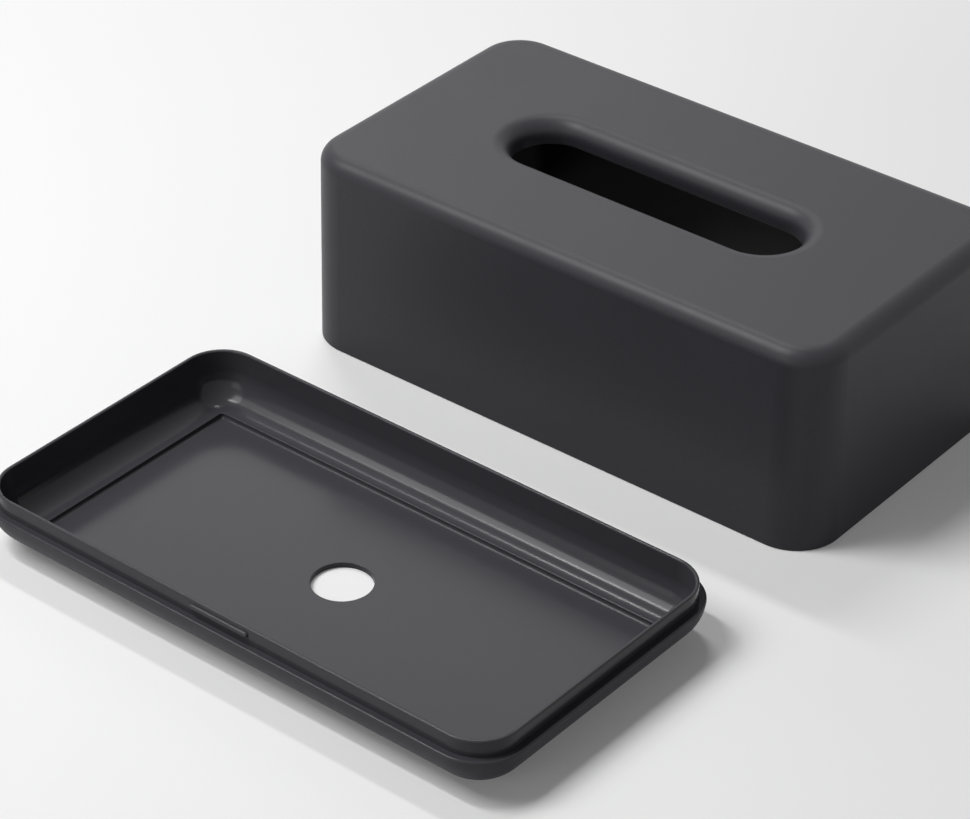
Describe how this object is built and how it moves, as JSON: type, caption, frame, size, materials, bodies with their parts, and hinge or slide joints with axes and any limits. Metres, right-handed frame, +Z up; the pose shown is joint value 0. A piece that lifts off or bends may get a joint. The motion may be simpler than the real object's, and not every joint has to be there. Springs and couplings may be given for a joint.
{
  "type": "tissue box",
  "caption": "Tissue box with a long rolled-edge slot: a rounded cover shell, lifted off and standing behind the shallow base tray that clips into its foot.",
  "frame": {"origin": "on the table, in the middle of the footprint of the two pieces together", "axes": "+X along the long sides, +Y from the base tray to the cover, +Z up"},
  "size_m": [0.2514, 0.3271, 0.0871],
  "materials": {
    "cover_plastic": "charcoal, fine matt moulded texture",
    "tray_plastic": "charcoal, smooth satin inside, fine matt moulded texture outside"
  },
  "bodies": {
    "tray": {"base_tray": "tray_plastic"},
    "cover": {"cover": "cover_plastic"}
  },
  "joints": [
    {"name": "cover_lift", "type": "slide", "parent": "tray", "child": "cover", "axis": [0.0019, -0.8741, 0.4857], "range_m": [0, 0.2162]}
  ]
}
